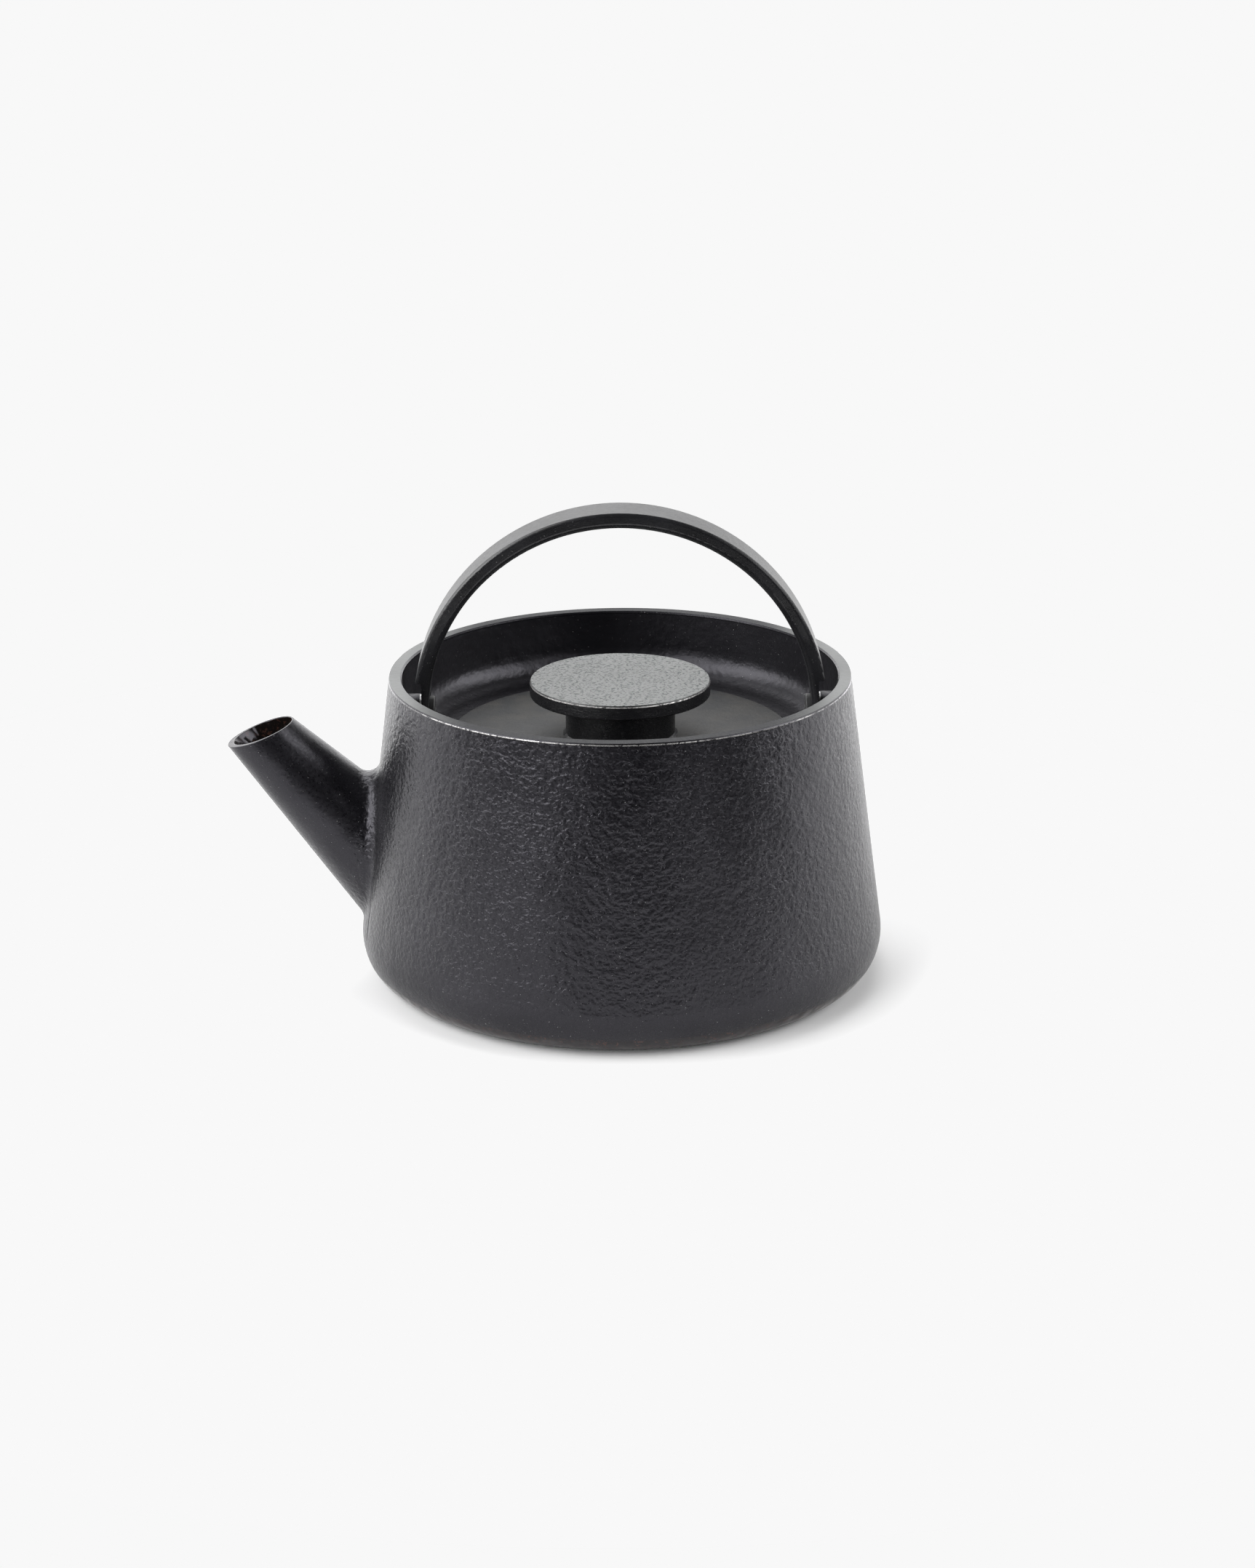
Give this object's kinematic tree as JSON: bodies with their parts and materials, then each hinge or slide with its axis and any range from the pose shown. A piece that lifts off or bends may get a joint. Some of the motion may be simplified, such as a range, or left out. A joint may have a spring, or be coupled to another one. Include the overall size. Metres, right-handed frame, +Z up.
{
  "type": "teapot infuser",
  "caption": "Cast-iron teapot with a tapered body, straight spout, recessed lid with a disc knob, swinging strap handle and lift-out infuser basket.",
  "frame": {"origin": "centre of the flat base, on the pot's axis, where the pot stands", "axes": "+Z up along the pot's axis, spout towards -X, handle plane in XZ"},
  "size_m": [0.1994, 0.16, 0.1443],
  "materials": {
    "pot_iron": "black coating over coarse cast skin, enamelled inside",
    "lid_iron": "smooth satin black",
    "knob_iron": "fine pitted top, turned side",
    "handle_coating": "satin black powder coat on steel",
    "blackened_steel": "blackened",
    "stainless_steel": "satin stainless steel",
    "stainless_mesh": "fine woven or etched stainless mesh"
  },
  "bodies": {
    "pot": {"pot_casting": "pot_iron", "pivot_screw_spout_side": "blackened_steel", "pivot_screw_back_side": "blackened_steel", "friction_washer_spout_side": "stainless_steel", "friction_washer_back_side": "stainless_steel"},
    "bail": {"bail_handle": "handle_coating"},
    "infuser": {"infuser_rim": "stainless_steel", "infuser_wall": "stainless_mesh", "infuser_base": "stainless_mesh", "infuser_band": "stainless_steel"},
    "lid": {"lid_plate": "lid_iron", "lid_knob": "knob_iron", "knob_screw": "stainless_steel", "knob_washer": "stainless_steel"}
  },
  "joints": [
    {"name": "bail_tilt", "type": "hinge", "parent": "pot", "child": "bail", "pos_m": [0, 0, 0.0818], "axis": [1, 0, 0], "range_deg": [-86, 86]},
    {"name": "infuser_lift", "type": "slide", "parent": "pot", "child": "infuser", "axis": [0, 0, 1], "range_m": [0, 0.03]},
    {"name": "lid_lift", "type": "slide", "parent": "infuser", "child": "lid", "axis": [0, 0, 1], "range_m": [0, 0.03]}
  ]
}
